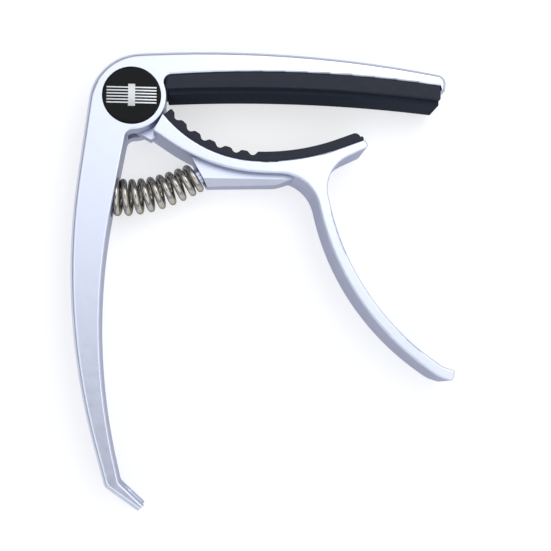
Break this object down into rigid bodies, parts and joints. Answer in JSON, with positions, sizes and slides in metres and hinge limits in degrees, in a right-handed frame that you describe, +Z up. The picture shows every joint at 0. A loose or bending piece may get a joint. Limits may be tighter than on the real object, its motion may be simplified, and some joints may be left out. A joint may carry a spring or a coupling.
{
  "type": "guitar capo",
  "caption": "One-hand spring capo for a guitar neck: two padded jaws on a hinge, squeezed open by hand, with a forked pin puller on the long handle.",
  "frame": {"origin": "middle of the closed capo's outline on the surface it lies on, at the rear faces of the castings", "axes": "+Z up through the cap side, +Y from the long handle towards the upper jaw, +X along the jaws away from the pivot"},
  "size_m": [0.0818, 0.0976, 0.0123],
  "materials": {
    "cast_aluminium": "satin silver on a smooth casting",
    "silicone": "matt, very dark blue-grey silicone",
    "nickel_steel": "bright nickel plate on spring wire",
    "bright_steel": "turned and zinc plated",
    "bronze": "sintered bronze",
    "nylon": "natural nylon",
    "black_cap": "gloss black moulding"
  },
  "bodies": {
    "frame": {"main_frame": "cast_aluminium", "upper_pad": "silicone", "spring": "nickel_steel", "pivot_pin": "bright_steel", "pin_clip": "bright_steel", "front_washer": "nylon", "rear_washer": "nylon", "front_cap": "black_cap", "rear_cap": "black_cap"},
    "lever": {"lever": "cast_aluminium", "lower_pad": "silicone", "pivot_bush": "bronze"}
  },
  "joints": [
    {"name": "lever_pivot", "type": "hinge", "parent": "frame", "child": "lever", "pos_m": [-0.02859, 0.03865, 0.006], "axis": [0, 0, -1], "range_deg": [0, 18], "stiffness_Nm_per_rad": 2, "springref_deg": -8.59, "deforming": ["spring"]}
  ]
}
